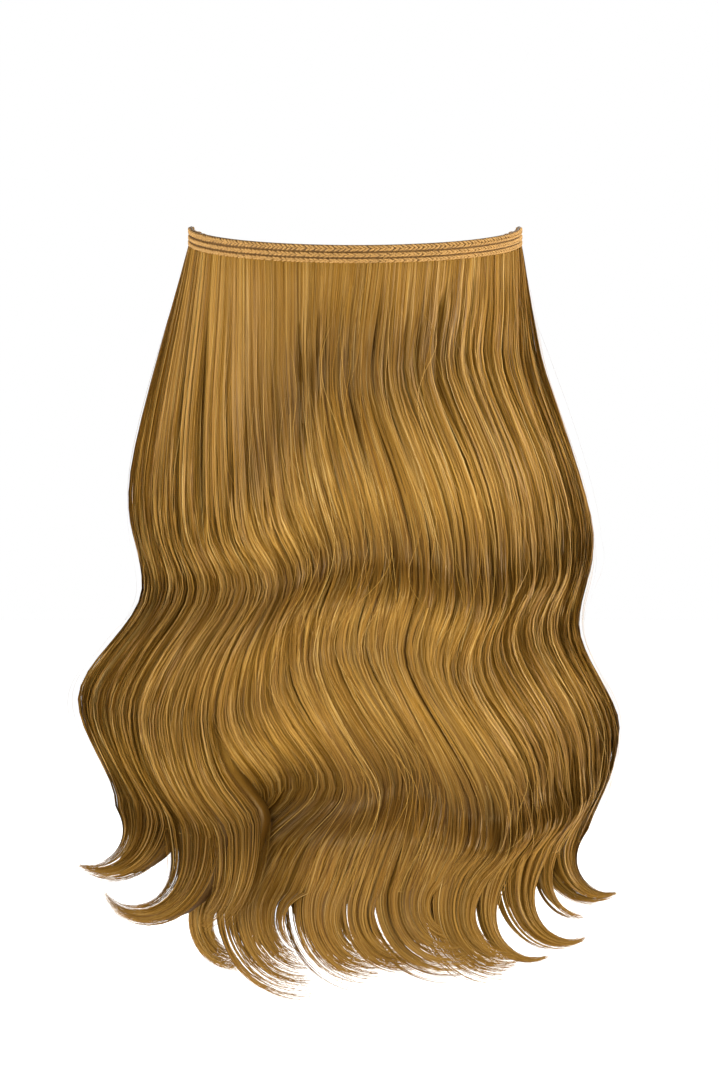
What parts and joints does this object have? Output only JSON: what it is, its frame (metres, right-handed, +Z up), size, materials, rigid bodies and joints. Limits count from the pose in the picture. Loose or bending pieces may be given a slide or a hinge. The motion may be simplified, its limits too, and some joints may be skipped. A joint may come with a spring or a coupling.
{
  "type": "clip-in hairpiece",
  "caption": "Long waved clip-in hairpiece: a curved sewn weft with snap clips inside, worn round the back of the head.",
  "frame": {"origin": "on the wearer's head at the middle of the back, in the middle of the centre clip's head side, at mid-height of the weft", "axes": "+Y into the head and towards the wearer's face, +Z up, +X to the right of the side that shows when worn"},
  "size_m": [0.3303, 0.12, 0.4523],
  "materials": {
    "hair": "golden blond synthetic hair with a soft sheen",
    "weft": "matt sewn thread",
    "clip": "brown enamel, satin"
  },
  "bodies": {
    "root": {"hair_far_left": "hair", "hair_left": "hair", "hair_centre": "hair", "hair_right": "hair", "hair_far_right": "hair", "weft_row_upper": "weft", "weft_row_middle": "weft", "weft_row_lower": "weft", "clip_far_left": "clip", "clip_left": "clip", "clip_centre": "clip", "clip_right": "clip", "clip_far_right": "clip"}
  },
  "joints": []
}
